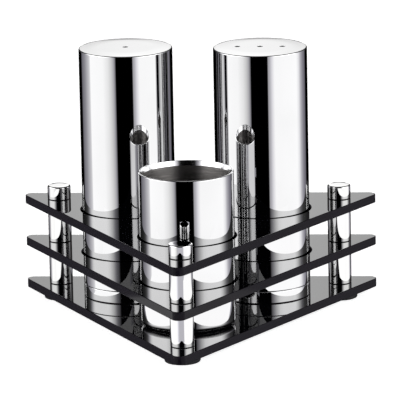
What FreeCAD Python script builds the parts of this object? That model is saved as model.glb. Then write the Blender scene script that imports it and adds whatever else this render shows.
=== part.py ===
import FreeCAD, Part
import os
import Sketcher

# A condiment set in millimetres, +Z up, standing on Z = 0 with the front corner towards -Y.
# Three triangular plates are stacked on three posts, each post a knob, two tube spacers and
# one long screw. Two shakers and a cup drop through round holes in the upper plates and stand
# on the lowest one. Each shaker is a drawn shell that pulls off a base cap with a ring seal.
# The origin lies on the table, at the middle of the whole set seen from above.

SIZES = (
    ("plate_side_reach", 36.2, "from a plate's centroid square to each straight side"),
    ("plate_corner_radius", 2.5, "rounding of a plate's three corners"),
    ("plate_thickness", 3.0, "acrylic sheet"),
    ("plate_edge_break", 0.2, "polished bevel along a plate's edges"),
    ("canister_diameter", 32.0, "outside of the shakers and of the cup"),
    ("canister_gap", 13.9, "clear gap between neighbouring canisters"),
    ("hole_play", 0.75, "gap all round a canister in its plate hole"),
    ("post_inset", 13.9, "from a plate's rounded tip back to the post's axis"),
    ("post_diameter", 8.0, "spacers and knobs"),
    ("post_end_bevel", 0.3, "bevel at the ends of spacers and under knobs"),
    ("spacer_length", 12.0, "clear height between two plates"),
    ("spacer_bore", 5.0, "bore of a spacer, loose on the screw"),
    ("knob_height", 4.8, "from the top plate to the knob's top"),
    ("knob_edge_radius", 0.6, "rounded upper edge of a knob"),
    ("knob_thread_depth", 3.8, "blind thread in a knob"),
    ("thread_play", 0.05, "gap all round the screw in the knob's thread"),
    ("screw_diameter", 4.0, "long countersunk screw"),
    ("screw_engagement", 3.3, "length of screw inside the knob"),
    ("screw_head_diameter", 7.6, "flat head, sunk into the lowest plate"),
    ("screw_head_rim", 0.2, "straight rim of the head before its cone"),
    ("screw_socket_radius", 1.45, "corner radius of the hexagon socket"),
    ("screw_socket_depth", 1.2, "depth of the hexagon socket"),
    ("screw_tip_bevel", 0.5, "bevel at the screw's tip"),
    ("screw_hole_diameter", 4.4, "clearance hole in every plate"),
    ("countersink_play", 0.05, "how far the head lies below the plate's underside"),
    ("foot_diameter", 12.0, "rubber disc under each post"),
    ("foot_height", 2.3, "rubber disc under each post"),
    ("foot_edge_radius", 0.5, "rounded lower edge of a foot"),
    ("shaker_height", 86.4, "from the lowest plate to a shaker's top"),
    ("shaker_wall", 0.8, "drawn steel, side and top"),
    ("shaker_edge_radius", 0.6, "rounded upper edge of a shaker"),
    ("pour_hole_diameter", 1.8, "holes in a shaker's top"),
    ("pour_hole_pitch", 7.65, "between neighbouring pour holes"),
    ("seam_bevel", 0.15, "bevel on both sides of the seam above the base cap"),
    ("base_cap_height", 4.3, "visible band below the seam"),
    ("base_dish_wall", 0.8, "pressed steel, side and floor of the base dish"),
    ("base_edge_radius", 0.4, "rounded lower edge of the base dish"),
    ("plug_insertion", 8.0, "how far the plug reaches up into the shell"),
    ("plug_play", 0.3, "gap all round the plug's neck in the shell"),
    ("plug_wall", 1.3, "moulded wall behind the groove"),
    ("plug_deck", 1.6, "moulded floor that closes the shell"),
    ("plug_lead_bevel", 0.5, "lead-in bevel at the top of the plug's neck"),
    ("seal_section", 1.8, "thickness of the ring seal"),
    ("seal_gap", 0.05, "gap between the ring seal and the shell's bore"),
    ("seal_side_play", 0.2, "gap above and below the ring in its groove"),
    ("seal_height", 4.2, "middle of the ring above the seam"),
    ("cup_height", 52.4, "from the lowest plate to the cup's lip"),
    ("cup_wall", 0.8, "drawn steel, side and floor"),
    ("cup_base_radius", 2.0, "rounded lower edge of the cup"),
    ("cup_lip_radius", 0.35, "rounding on both sides of the lip"),
)

# Levels above the table and lengths that follow from the sizes.
LEVELS = (
    ("corner_centre_reach", "2 * (Sizes.plate_side_reach - Sizes.plate_corner_radius)"),
    ("tip_reach", "corner_centre_reach + Sizes.plate_corner_radius"),
    ("centroid_back", "(tip_reach - Sizes.plate_side_reach) / 2"),
    ("post_circle_radius", "tip_reach - Sizes.post_inset"),
    ("canister_circle_radius", "(Sizes.canister_diameter + Sizes.canister_gap) / sqrt(3)"),
    ("base_bottom", "Sizes.foot_height"),
    ("base_top", "base_bottom + Sizes.plate_thickness"),
    ("middle_bottom", "base_top + Sizes.spacer_length"),
    ("middle_top", "middle_bottom + Sizes.plate_thickness"),
    ("top_bottom", "middle_top + Sizes.spacer_length"),
    ("top_top", "top_bottom + Sizes.plate_thickness"),
    ("screw_length", "top_top + Sizes.screw_engagement - base_bottom"),
    ("screw_head_cone", "(Sizes.screw_head_diameter - Sizes.screw_diameter) / 2"),
    ("canister_radius", "Sizes.canister_diameter / 2"),
    ("shell_bore_radius", "canister_radius - Sizes.shaker_wall"),
    ("shell_bottom", "base_top + Sizes.base_cap_height"),
    ("shell_height", "Sizes.shaker_height - Sizes.base_cap_height"),
    ("dish_bore_radius", "canister_radius - Sizes.base_dish_wall"),
    ("plug_bottom", "base_top + Sizes.base_dish_wall"),
    ("plug_shoulder", "Sizes.base_cap_height - Sizes.base_dish_wall"),
    ("plug_height", "plug_shoulder + Sizes.plug_insertion"),
    ("neck_radius", "shell_bore_radius - Sizes.plug_play"),
    ("seal_ring_radius", "shell_bore_radius - Sizes.seal_gap - Sizes.seal_section / 2"),
    ("groove_radius", "seal_ring_radius - Sizes.seal_section / 2"),
    ("groove_half_height", "Sizes.seal_section / 2 + Sizes.seal_side_play"),
    ("groove_middle", "plug_shoulder + Sizes.seal_height"),
)

CORNER_ANGLES = {"front": -90, "left": 150, "right": 30}
HEXAGON_SIDES = 6
FULL_TURN = 360
FULLEST_ROUND_SHARE = 0.45
TOLERANCE = 1e-4

# How a sketch constraint names an axis, or a point on a line or circle.
HORIZONTAL_AXIS_INDEX = -1
VERTICAL_AXIS_INDEX = -2
START_INDEX = 1
END_INDEX = 2
CENTRE_INDEX = 3
ORIGIN_POINT = (HORIZONTAL_AXIS_INDEX, START_INDEX)

doc = FreeCAD.newDocument("condiment_set")
pieces = []


def fill_sheets():
    """Puts the driving sizes in one sheet and what follows from them in a second one."""
    sizes = doc.addObject("Spreadsheet::Sheet", "Sizes")
    for row, (alias, number, note) in enumerate(SIZES, start=1):
        sizes.set(f"A{row}", alias)
        sizes.set(f"B{row}", str(number))
        sizes.set(f"C{row}", note)
        sizes.setAlias(f"B{row}", alias)
    doc.recompute()
    levels = doc.addObject("Spreadsheet::Sheet", "Levels")
    for row, (alias, formula) in enumerate(LEVELS, start=1):
        levels.set(f"A{row}", alias)
        levels.set(f"B{row}", f"={formula}")
        levels.setAlias(f"B{row}", alias)
        doc.recompute()


def value(expression):
    """The present number behind an expression on the sheets."""
    return float(doc.Levels.evalExpression(expression))


def new_body(name):
    """One physical piece, with the name that its file gets."""
    body = doc.addObject("PartDesign::Body", name)
    body.Label = name
    pieces.append(body)
    return body


def place(body, height, circle="0", angle=0):
    """Stands a piece at a height, on a circle round the plates' centroid."""
    body.setExpression("Placement.Base.x", f"{circle} * cos({angle} deg)")
    body.setExpression("Placement.Base.y", f"Levels.centroid_back + {circle} * sin({angle} deg)")
    body.setExpression("Placement.Base.z", height)


def new_sketch(body, name, role):
    """An empty sketch on one of the body's own origin planes."""
    sketch = body.newObject("Sketcher::SketchObject", name)
    plane = next(each for each in body.Origin.OriginFeatures if each.Role == role)
    sketch.AttachmentSupport = (plane, [""])
    sketch.MapMode = "FlatFace"
    return sketch


def bind(sketch, constraint, name, expression):
    """Adds a constraint and ties its number to the sheets."""
    index = sketch.addConstraint(constraint)
    sketch.renameConstraint(index, name)
    sketch.setExpression(f"Constraints.{name}", expression)


def join_ends(sketch, count):
    """Joins lines 0 to count - 1 into a closed loop."""
    for line in range(count):
        following = (line + 1) % count
        ends = (line, END_INDEX, following, START_INDEX)
        sketch.addConstraint(Sketcher.Constraint("Coincident", *ends))


def edges_where(feature, test):
    """Names of the feature's edges that pass a test."""
    return [f"Edge{i}" for i, edge in enumerate(feature.Shape.Edges, start=1) if test(edge)]


def ring_at(radius, height):
    """A test for a whole circular edge of one radius at one height."""
    wanted_radius = value(radius)
    wanted_height = value(height)

    def test(edge):
        return (
            isinstance(edge.Curve, Part.Circle)
            and abs(edge.Curve.Radius - wanted_radius) < TOLERANCE
            and abs(edge.Curve.Center.z - wanted_height) < TOLERANCE
        )

    return test


def dress(body, kind, name, amount, test):
    """Rounds ("Fillet") or bevels ("Chamfer") the edges of the body's tip that pass a test."""
    base = body.Tip
    found = edges_where(base, test)
    if not found:
        raise RuntimeError(f"{body.Label}: no edge for {name}")
    feature = body.newObject(f"PartDesign::{kind}", name)
    feature.Base = (base, found)
    feature.setExpression("Radius" if kind == "Fillet" else "Size", amount)
    doc.recompute()


def turn(body, corners):
    """Revolves a closed profile, given as radius and height expressions, about the Z axis."""
    sketch = new_sketch(body, "profile", "XZ_Plane")
    points = [FreeCAD.Vector(value(radius), value(height), 0) for radius, height in corners]
    count = len(points)
    for i, point in enumerate(points):
        sketch.addGeometry(Part.LineSegment(point, points[(i + 1) % count]))
    join_ends(sketch, count)
    for i, (radius, height) in enumerate(corners):
        if radius == "0":
            hold = ("PointOnObject", i, START_INDEX, VERTICAL_AXIS_INDEX)
            sketch.addConstraint(Sketcher.Constraint(*hold))
        else:
            across = Sketcher.Constraint("DistanceX", *ORIGIN_POINT, i, START_INDEX, points[i].x)
            bind(sketch, across, f"radius_{i}", radius)
        if height == "0":
            hold = ("PointOnObject", i, START_INDEX, HORIZONTAL_AXIS_INDEX)
            sketch.addConstraint(Sketcher.Constraint(*hold))
        else:
            up = Sketcher.Constraint("DistanceY", *ORIGIN_POINT, i, START_INDEX, points[i].y)
            bind(sketch, up, f"height_{i}", height)
    solid = body.newObject("PartDesign::Revolution", "turned")
    solid.Profile = sketch
    solid.ReferenceAxis = (sketch, ["V_Axis"])
    solid.Angle = FULL_TURN
    doc.recompute()


def cut_through(body, sketch, name):
    """Cuts a sketch right through the body, both ways from its plane."""
    before = body.Shape.Volume
    pocket = body.newObject("PartDesign::Pocket", name)
    pocket.Profile = sketch
    pocket.Type = "ThroughAll"
    pocket.Midplane = True
    doc.recompute()
    if pocket.Shape.Volume > before - TOLERANCE:
        raise RuntimeError(f"{body.Label}: {name} cut nothing")
    return pocket


def triangle_outline(body):
    """Equal-sided triangle round the origin, its back side level and its tip towards -Y."""
    sketch = new_sketch(body, "outline", "XY_Plane")
    reach = value("Sizes.plate_side_reach")
    tips = []
    for angle in CORNER_ANGLES.values():
        turn_to_tip = FreeCAD.Rotation(FreeCAD.Vector(0, 0, 1), angle)
        tips.append(turn_to_tip.multVec(FreeCAD.Vector(2 * reach, 0, 0)))
    for i, tip in enumerate(tips):
        sketch.addGeometry(Part.LineSegment(tip, tips[(i + 1) % len(tips)]))
    join_ends(sketch, len(tips))
    inner = Part.Circle(FreeCAD.Vector(0, 0, 0), FreeCAD.Vector(0, 0, 1), reach)
    circle = sketch.addGeometry(inner, True)
    sketch.addConstraint(Sketcher.Constraint("Coincident", circle, CENTRE_INDEX, *ORIGIN_POINT))
    for line in range(len(tips)):
        sketch.addConstraint(Sketcher.Constraint("Tangent", line, circle))
    on_axis = ("PointOnObject", 0, START_INDEX, VERTICAL_AXIS_INDEX)
    sketch.addConstraint(Sketcher.Constraint(*on_axis))
    sketch.addConstraint(Sketcher.Constraint("Horizontal", 1))
    bind(sketch, Sketcher.Constraint("Radius", circle, reach), "side_reach", "Sizes.plate_side_reach")
    return sketch


def holes_round_plate(body, name, circle, diameter):
    """A round hole on the plate's front axis, repeated under all three corners."""
    sketch = new_sketch(body, f"{name}_sketch", "XY_Plane")
    centre = FreeCAD.Vector(0, -value(circle), 0)
    sketch.addGeometry(Part.Circle(centre, FreeCAD.Vector(0, 0, 1), value(diameter) / 2))
    sketch.addConstraint(Sketcher.Constraint("PointOnObject", 0, CENTRE_INDEX, VERTICAL_AXIS_INDEX))
    down = Sketcher.Constraint("DistanceY", 0, CENTRE_INDEX, *ORIGIN_POINT, -centre.y)
    bind(sketch, down, "from_centroid", circle)
    bind(sketch, Sketcher.Constraint("Diameter", 0, value(diameter)), "across", diameter)
    hole = cut_through(body, sketch, name)
    pattern = body.newObject("PartDesign::PolarPattern", f"{name}_pattern")
    pattern.Originals = [hole]
    pattern.Axis = (sketch, ["N_Axis"])
    pattern.Angle = FULL_TURN
    pattern.Occurrences = len(CORNER_ANGLES)
    body.Tip = pattern
    doc.recompute()


def make_plate(name, level, for_canisters):
    """An acrylic plate; the lowest one has countersinks in place of canister holes."""
    body = new_body(name)
    slab = body.newObject("PartDesign::Pad", "slab")
    slab.Profile = triangle_outline(body)
    slab.setExpression("Length", "Sizes.plate_thickness")
    doc.recompute()
    thickness = value("Sizes.plate_thickness")

    def upright(edge):
        return isinstance(edge.Curve, Part.Line) and abs(edge.tangentAt(0).z) > 1 - TOLERANCE

    dress(body, "Fillet", "corners", "Sizes.plate_corner_radius", upright)
    holes_round_plate(body, "post_hole", "Levels.post_circle_radius", "Sizes.screw_hole_diameter")
    screw_hole = value("Sizes.screw_hole_diameter") / 2

    def is_screw_hole(edge):
        return isinstance(edge.Curve, Part.Circle) and abs(edge.Curve.Radius - screw_hole) < TOLERANCE

    if for_canisters:
        hole = "Sizes.canister_diameter + 2 * Sizes.hole_play"
        holes_round_plate(body, "canister_hole", "Levels.canister_circle_radius", hole)
    else:

        def sunk(edge):
            return is_screw_hole(edge) and abs(edge.CenterOfMass.z) < TOLERANCE

        depth = "(Sizes.screw_head_diameter - Sizes.screw_hole_diameter) / 2"
        depth += " + Sizes.screw_head_rim + Sizes.countersink_play"
        dress(body, "Chamfer", "countersinks", depth, sunk)
    widest_screw_ring = value("Sizes.screw_head_diameter")

    def polished(edge):
        height = edge.CenterOfMass.z
        on_face = abs(height) < TOLERANCE or abs(height - thickness) < TOLERANCE
        level_edge = edge.BoundBox.ZLength < TOLERANCE
        whole_ring = isinstance(edge.Curve, Part.Circle) and edge.isClosed()
        for_screw = whole_ring and edge.Curve.Radius < widest_screw_ring
        return on_face and level_edge and not for_screw

    dress(body, "Chamfer", "edge_break", "Sizes.plate_edge_break", polished)
    place(body, level)


def make_post(side, angle):
    """Foot, screw, two spacers and knob at one corner."""
    circle = "Levels.post_circle_radius"
    radius = "Sizes.post_diameter / 2"
    bevel = "Sizes.post_end_bevel"
    for which, level in (("upper", "Levels.middle_top"), ("lower", "Levels.base_top")):
        spacer = new_body(f"{side}_{which}_spacer")
        bore = "Sizes.spacer_bore / 2"
        length = "Sizes.spacer_length"
        turn(spacer, [(bore, "0"), (radius, "0"), (radius, length), (bore, length)])
        dress(spacer, "Chamfer", "lower_bevel", bevel, ring_at(radius, "0"))
        dress(spacer, "Chamfer", "upper_bevel", bevel, ring_at(radius, length))
        place(spacer, level, circle, angle)

    knob = new_body(f"{side}_knob")
    thread = "Sizes.screw_diameter / 2 + Sizes.thread_play"
    depth = "Sizes.knob_thread_depth"
    top = "Sizes.knob_height"
    turn(knob, [(thread, "0"), (radius, "0"), (radius, top), ("0", top), ("0", depth), (thread, depth)])
    dress(knob, "Fillet", "rounded_top", "Sizes.knob_edge_radius", ring_at(radius, top))
    dress(knob, "Chamfer", "lower_bevel", bevel, ring_at(radius, "0"))
    place(knob, "Levels.top_top", circle, angle)

    screw = new_body(f"{side}_screw")
    make_screw(screw)
    place(screw, "Levels.base_bottom + Sizes.countersink_play", circle, angle)

    foot = new_body(f"{side}_foot")
    rim = "Sizes.foot_diameter / 2"
    turn(foot, [("0", "0"), (rim, "0"), (rim, "Sizes.foot_height"), ("0", "Sizes.foot_height")])
    dress(foot, "Fillet", "rounded_edge", "Sizes.foot_edge_radius", ring_at(rim, "0"))
    place(foot, "0", circle, angle)


def make_screw(body):
    """Countersunk screw, head down, with a hexagon socket in its head."""
    head = "Sizes.screw_head_diameter / 2"
    shank = "Sizes.screw_diameter / 2"
    rim = "Sizes.screw_head_rim"
    cone_end = "Sizes.screw_head_rim + Levels.screw_head_cone"
    tip = "Levels.screw_length"
    turn(body, [("0", "0"), (head, "0"), (head, rim), (shank, cone_end), (shank, tip), ("0", tip)])
    dress(body, "Chamfer", "tip_bevel", "Sizes.screw_tip_bevel", ring_at(shank, tip))
    sketch = new_sketch(body, "socket_outline", "XY_Plane")
    radius = value("Sizes.screw_socket_radius")
    corners = []
    for i in range(HEXAGON_SIDES):
        spin = FreeCAD.Rotation(FreeCAD.Vector(0, 0, 1), i * FULL_TURN / HEXAGON_SIDES)
        corners.append(spin.multVec(FreeCAD.Vector(radius, 0, 0)))
    for i, corner in enumerate(corners):
        sketch.addGeometry(Part.LineSegment(corner, corners[(i + 1) % HEXAGON_SIDES]))
    join_ends(sketch, HEXAGON_SIDES)
    round_all = Part.Circle(FreeCAD.Vector(0, 0, 0), FreeCAD.Vector(0, 0, 1), radius)
    circle = sketch.addGeometry(round_all, True)
    sketch.addConstraint(Sketcher.Constraint("Coincident", circle, CENTRE_INDEX, *ORIGIN_POINT))
    for line in range(HEXAGON_SIDES):
        sketch.addConstraint(Sketcher.Constraint("PointOnObject", line, START_INDEX, circle))
    for line in range(1, HEXAGON_SIDES):
        sketch.addConstraint(Sketcher.Constraint("Equal", 0, line))
    on_axis = ("PointOnObject", 0, START_INDEX, HORIZONTAL_AXIS_INDEX)
    sketch.addConstraint(Sketcher.Constraint(*on_axis))
    bind(sketch, Sketcher.Constraint("Radius", circle, radius), "corner", "Sizes.screw_socket_radius")
    before = body.Shape.Volume
    socket = body.newObject("PartDesign::Pocket", "socket")
    socket.Profile = sketch
    socket.Reversed = True
    socket.setExpression("Length", "Sizes.screw_socket_depth")
    doc.recompute()
    if socket.Shape.Volume > before - TOLERANCE:
        raise RuntimeError(f"{body.Label}: the socket cut nothing")


def make_shell(name, hole_steps, angle):
    """Drawn shaker body, open below, with pour holes in a row across its top."""
    body = new_body(name)
    outer = "Levels.canister_radius"
    bore = "Levels.shell_bore_radius"
    top = "Levels.shell_height"
    under_top = "Levels.shell_height - Sizes.shaker_wall"
    turn(body, [(bore, "0"), (outer, "0"), (outer, top), ("0", top), ("0", under_top), (bore, under_top)])
    dress(body, "Fillet", "rounded_top", "Sizes.shaker_edge_radius", ring_at(outer, top))
    dress(body, "Chamfer", "seam_bevel", "Sizes.seam_bevel", ring_at(outer, "0"))
    sketch = new_sketch(body, "pour_hole_sketch", "XY_Plane")
    diameter = value("Sizes.pour_hole_diameter")
    for i, step in enumerate(hole_steps):
        centre = FreeCAD.Vector(step * value("Sizes.pour_hole_pitch"), 0, 0)
        sketch.addGeometry(Part.Circle(centre, FreeCAD.Vector(0, 0, 1), diameter / 2))
        sketch.addConstraint(Sketcher.Constraint("PointOnObject", i, CENTRE_INDEX, HORIZONTAL_AXIS_INDEX))
        across = Sketcher.Constraint("Diameter", i, diameter)
        bind(sketch, across, f"across_{i}", "Sizes.pour_hole_diameter")
        if step == 0:
            sketch.addConstraint(Sketcher.Constraint("PointOnObject", i, CENTRE_INDEX, VERTICAL_AXIS_INDEX))
        else:
            ends = (*ORIGIN_POINT, i, CENTRE_INDEX) if step > 0 else (i, CENTRE_INDEX, *ORIGIN_POINT)
            along = Sketcher.Constraint("DistanceX", *ends, abs(centre.x))
            bind(sketch, along, f"along_{i}", f"{abs(step)} * Sizes.pour_hole_pitch")
    cut_through(body, sketch, "pour_holes")
    place(body, "Levels.shell_bottom", "Levels.canister_circle_radius", angle)


def make_base_cap(prefix, angle):
    """Pressed dish, moulded plug and ring seal that close a shaker from below."""
    circle = "Levels.canister_circle_radius"
    outer = "Levels.canister_radius"
    inner = "Levels.dish_bore_radius"
    rim = "Sizes.base_cap_height"
    floor = "Sizes.base_dish_wall"
    dish = new_body(f"{prefix}_base_dish")
    turn(dish, [("0", "0"), (outer, "0"), (outer, rim), (inner, rim), (inner, floor), ("0", floor)])
    dress(dish, "Fillet", "rounded_edge", "Sizes.base_edge_radius", ring_at(outer, "0"))
    dress(dish, "Chamfer", "seam_bevel", "Sizes.seam_bevel", ring_at(outer, rim))
    place(dish, "Levels.base_top", circle, angle)

    plug = new_body(f"{prefix}_plug")
    neck = "Levels.neck_radius"
    shoulder = "Levels.plug_shoulder"
    groove = "Levels.groove_radius"
    groove_low = "Levels.groove_middle - Levels.groove_half_height"
    groove_high = "Levels.groove_middle + Levels.groove_half_height"
    top = "Levels.plug_height"
    hollow = "Levels.groove_radius - Sizes.plug_wall"
    hollow_top = "Levels.plug_height - Sizes.plug_deck"
    turn(
        plug,
        [
            (hollow, "0"),
            (inner, "0"),
            (inner, shoulder),
            (neck, shoulder),
            (neck, groove_low),
            (groove, groove_low),
            (groove, groove_high),
            (neck, groove_high),
            (neck, top),
            ("0", top),
            ("0", hollow_top),
            (hollow, hollow_top),
        ],
    )
    dress(plug, "Chamfer", "lead_in", "Sizes.plug_lead_bevel", ring_at(neck, top))
    place(plug, "Levels.plug_bottom", circle, angle)

    seal = doc.addObject("Part::Torus", f"{prefix}_seal")
    seal.Label = f"{prefix}_seal"
    seal.setExpression("Radius1", "Levels.seal_ring_radius")
    seal.setExpression("Radius2", "Sizes.seal_section / 2")
    place(seal, "Levels.plug_bottom + Levels.groove_middle", circle, angle)
    pieces.append(seal)


def make_cup(angle):
    """Drawn cup with a rounded base and a thin rounded lip."""
    body = new_body("toothpick_cup")
    outer = "Levels.canister_radius"
    inner = "Levels.canister_radius - Sizes.cup_wall"
    top = "Sizes.cup_height"
    floor = "Sizes.cup_wall"
    turn(body, [("0", "0"), (outer, "0"), (outer, top), (inner, top), (inner, floor), ("0", floor)])
    dress(body, "Fillet", "outer_base", "Sizes.cup_base_radius", ring_at(outer, "0"))
    inside = "max(Sizes.cup_base_radius - Sizes.cup_wall; Sizes.cup_lip_radius)"
    dress(body, "Fillet", "inner_base", inside, ring_at(inner, floor))
    lip = f"min(Sizes.cup_lip_radius; {FULLEST_ROUND_SHARE} * Sizes.cup_wall)"
    outer_lip = ring_at(outer, top)
    inner_lip = ring_at(inner, top)
    dress(body, "Fillet", "lip", lip, lambda edge: outer_lip(edge) or inner_lip(edge))
    place(body, "Levels.base_top", "Levels.canister_circle_radius", angle)


def check_and_write():
    """Stops on any failed object or bad solid, then writes one file per piece."""
    doc.recompute()
    for each in doc.Objects:
        if "Invalid" in each.State or "Error" in each.State:
            raise RuntimeError(f"{each.Label} failed: {each.State}")
    for piece in pieces:
        shape = piece.Shape
        if shape.isNull() or not shape.isValid() or len(shape.Solids) != 1:
            raise RuntimeError(f"{piece.Label} is not one valid solid")
    os.makedirs("parts", exist_ok=True)
    whole = FreeCAD.BoundBox()
    for piece in pieces:
        piece.Shape.exportStep(f"parts/{piece.Label}.step")
        whole.add(piece.Shape.BoundBox)
    print(f"{len(pieces)} pieces, {whole.XLength:.2f} x {whole.YLength:.2f} x {whole.ZLength:.2f} mm")


fill_sheets()
make_plate("base_plate", "Levels.base_bottom", for_canisters=False)
make_plate("middle_plate", "Levels.middle_bottom", for_canisters=True)
make_plate("top_plate", "Levels.top_bottom", for_canisters=True)
for corner, corner_angle in CORNER_ANGLES.items():
    make_post(corner, corner_angle)
make_base_cap("salt", CORNER_ANGLES["left"])
make_shell("salt_shell", (0,), CORNER_ANGLES["left"])
make_base_cap("pepper", CORNER_ANGLES["right"])
make_shell("pepper_shell", (-1, 0, 1), CORNER_ANGLES["right"])
make_cup(CORNER_ANGLES["front"])
check_and_write()
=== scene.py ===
"""Looks of a three-tier condiment set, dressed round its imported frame.

Every new piece is one closed surface worked out with numpy. A profile of offsets and heights is
carried round a closed path, and flat faces with or without holes close what is left open. Lengths
are in metres and places come from the frame, so each piece lies exactly where its node lies.
"""

import logging
import math
from collections.abc import Callable, Sequence
from dataclasses import dataclass, field
from enum import Enum

import bpy
import numpy as np
from mathutils import Matrix, Vector
from mathutils.geometry import tessellate_polygon


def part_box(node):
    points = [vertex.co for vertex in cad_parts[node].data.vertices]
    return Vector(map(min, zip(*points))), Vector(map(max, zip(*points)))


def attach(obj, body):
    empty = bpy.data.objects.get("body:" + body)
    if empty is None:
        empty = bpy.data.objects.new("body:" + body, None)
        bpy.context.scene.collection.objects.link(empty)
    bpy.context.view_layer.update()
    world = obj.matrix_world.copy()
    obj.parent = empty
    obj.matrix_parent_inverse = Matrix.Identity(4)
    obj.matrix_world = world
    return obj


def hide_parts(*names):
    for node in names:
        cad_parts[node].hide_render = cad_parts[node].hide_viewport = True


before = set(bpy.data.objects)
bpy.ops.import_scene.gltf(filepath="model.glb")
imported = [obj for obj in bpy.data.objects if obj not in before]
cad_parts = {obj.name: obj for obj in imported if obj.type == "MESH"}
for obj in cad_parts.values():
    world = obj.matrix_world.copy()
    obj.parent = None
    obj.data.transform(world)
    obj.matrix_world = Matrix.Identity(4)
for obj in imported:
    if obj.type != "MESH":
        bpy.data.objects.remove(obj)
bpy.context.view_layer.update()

LOG = logging.getLogger("condiment_set")
MM = 0.001
QUARTER_TURN = math.pi / 2
FULL_TURN = 2 * math.pi
SIXTH_TURN = math.pi / 3
FINE_ROUND = 256
SMALL_ROUND = 128
HOLE_ROUND = 48
ARC_STEPS = 8
AREA_SHARE = 1e-3
ROLL_ANGLE = math.radians(4)
ROLL_ROUNDNESS = 4.0
LEVEL_SHARE = 0.9
UP = 1.0
DOWN = -1.0
HALF = 0.5
FULL_DEGREES = 360.0
ACROSS_THE_MARKS = 0.25


class Side(Enum):
    """The three corners of the rack, where a post stands."""

    FRONT = "front"
    LEFT = "left"
    RIGHT = "right"


class Filling(Enum):
    """What a shaker holds, with the places of its pour holes in steps along X."""

    SALT = ("salt", (0,))
    PEPPER = ("pepper", (-1, 0, 1))

    @property
    def prefix(self) -> str:
        """Start of the names of this shaker's nodes and bodies."""
        return self.value[0]

    @property
    def hole_steps(self) -> tuple[int, ...]:
        """Places of the pour holes, counted in hole pitches from the middle."""
        return self.value[1]


class Tier(Enum):
    """The three plates, from the table up."""

    BASE = "base_plate"
    MIDDLE = "middle_plate"
    TOP = "top_plate"


class Slot(Enum):
    """The record's material slots."""

    ACRYLIC = "black_acrylic"
    CHROME = "post_chrome"
    STEEL = "polished_steel"
    CUP = "cup_steel"
    SCREW = "screw_steel"
    FOOT = "foot_rubber"
    SEAL = "seal_rubber"
    PLUG = "plug_plastic"


@dataclass(frozen=True)
class Turned:
    """Axis, reach and height of a node that is round about an upright axis."""

    x: float
    y: float
    low: float
    high: float
    radius: float

    @classmethod
    def of(cls, node: str) -> "Turned":
        """Reads the place of a round node from the frame.

        Args:
            node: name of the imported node.

        Returns:
            Its axis, its levels and half its width.
        """
        low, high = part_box(node)
        middle = (low + high) / 2
        return cls(middle.x, middle.y, low.z, high.z, (high.x - low.x) / 2)

    @property
    def axis(self) -> tuple[float, float]:
        """Place of the axis seen from above."""
        return (self.x, self.y)


@dataclass(frozen=True)
class Path:
    """A closed way round a piece, seen from above and walked anticlockwise.

    A swept point lies at base + offset * outward, so one path serves every offset.
    """

    base: np.ndarray
    outward: np.ndarray

    @classmethod
    def circle(cls, centre: tuple[float, float], count: int, start: float = 0.0) -> "Path":
        """A full round: base stays at the centre and outward turns once.

        Args:
            centre: place of the axis.
            count: points round the circle.
            start: angle of the first point.

        Returns:
            The path.
        """
        angle = start + np.arange(count) * FULL_TURN / count
        outward = np.stack([np.cos(angle), np.sin(angle)], axis=1)
        return cls(np.broadcast_to(np.array(centre, float), outward.shape), outward)

    @classmethod
    def round_corners(cls, centres: np.ndarray, steps: int) -> "Path":
        """A polygon with round corners: outward turns at each corner centre in its turn.

        The outward direction of a side is its direction turned right by a quarter. At a corner it
        goes from that of the side before to that of the side after, in equal steps.

        Args:
            centres: centres of the corner arcs, anticlockwise.
            steps: steps of each corner arc.

        Returns:
            The path.
        """
        after = np.roll(centres, -1, axis=0) - centres
        leaving = np.arctan2(-after[:, 0], after[:, 1])
        arriving = np.roll(leaving, 1)
        turn = np.mod(leaving - arriving, FULL_TURN)
        share = np.linspace(0, 1, steps + 1)
        angle = (arriving[:, None] + turn[:, None] * share).ravel()
        base = np.repeat(centres, steps + 1, axis=0)
        return cls(base, np.stack([np.cos(angle), np.sin(angle)], axis=1))


@dataclass(frozen=True)
class Profile:
    """A line of offsets and heights with its unit normals; the solid lies on its left."""

    points: np.ndarray
    normals: np.ndarray
    closed: bool

    @classmethod
    def rounded(cls, corners: Sequence[tuple[float, ...]], closed: bool = False, steps: int = ARC_STEPS) -> "Profile":
        """Joins corners by straight runs and rounds each one by its own radius.

        A corner that turns by t and has radius r gives an arc from r * tan(t / 2) before it to as
        far after it. A normal is the direction of travel turned right by a quarter, so it changes
        smoothly along each arc and is constant along each run.

        Args:
            corners: offset, height and radius of each corner; the two ends of an open line
                leave out their radius.
            closed: whether the last corner joins the first.
            steps: steps of an arc that turns by a quarter.

        Returns:
            The profile.
        """
        spots = np.array([corner[:2] for corner in corners], float)
        count = len(spots)
        points = []
        normals = []
        for i, corner in enumerate(corners):
            at_end = not closed and i in (0, count - 1)
            before = _unit(spots[i] - spots[i - 1])
            after = _unit(spots[(i + 1) % count] - spots[i])
            if at_end:
                heading = after if i == 0 else before
                points.append(spots[i][None])
                normals.append(_turned_right(heading)[None])
                continue
            turn = math.atan2(before[0] * after[1] - before[1] * after[0], before @ after)
            radius = corner[2]
            start = spots[i] - before * radius * math.tan(abs(turn) / 2)
            inward = -_turned_right(before) * math.copysign(1, turn)
            centre = start + inward * radius
            arc = max(2, round(steps * abs(turn) / QUARTER_TURN))
            angle = np.linspace(0, turn, arc + 1)
            spoke = -inward
            spun = np.stack(
                [
                    spoke[0] * np.cos(angle) - spoke[1] * np.sin(angle),
                    spoke[0] * np.sin(angle) + spoke[1] * np.cos(angle),
                ],
                axis=1,
            )
            points.append(centre + radius * spun)
            normals.append(spun * math.copysign(1, turn))
        return cls(np.concatenate(points), np.concatenate(normals), closed)


def _unit(vector: np.ndarray) -> np.ndarray:
    """The vector at length one."""
    return vector / np.linalg.norm(vector)


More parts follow.
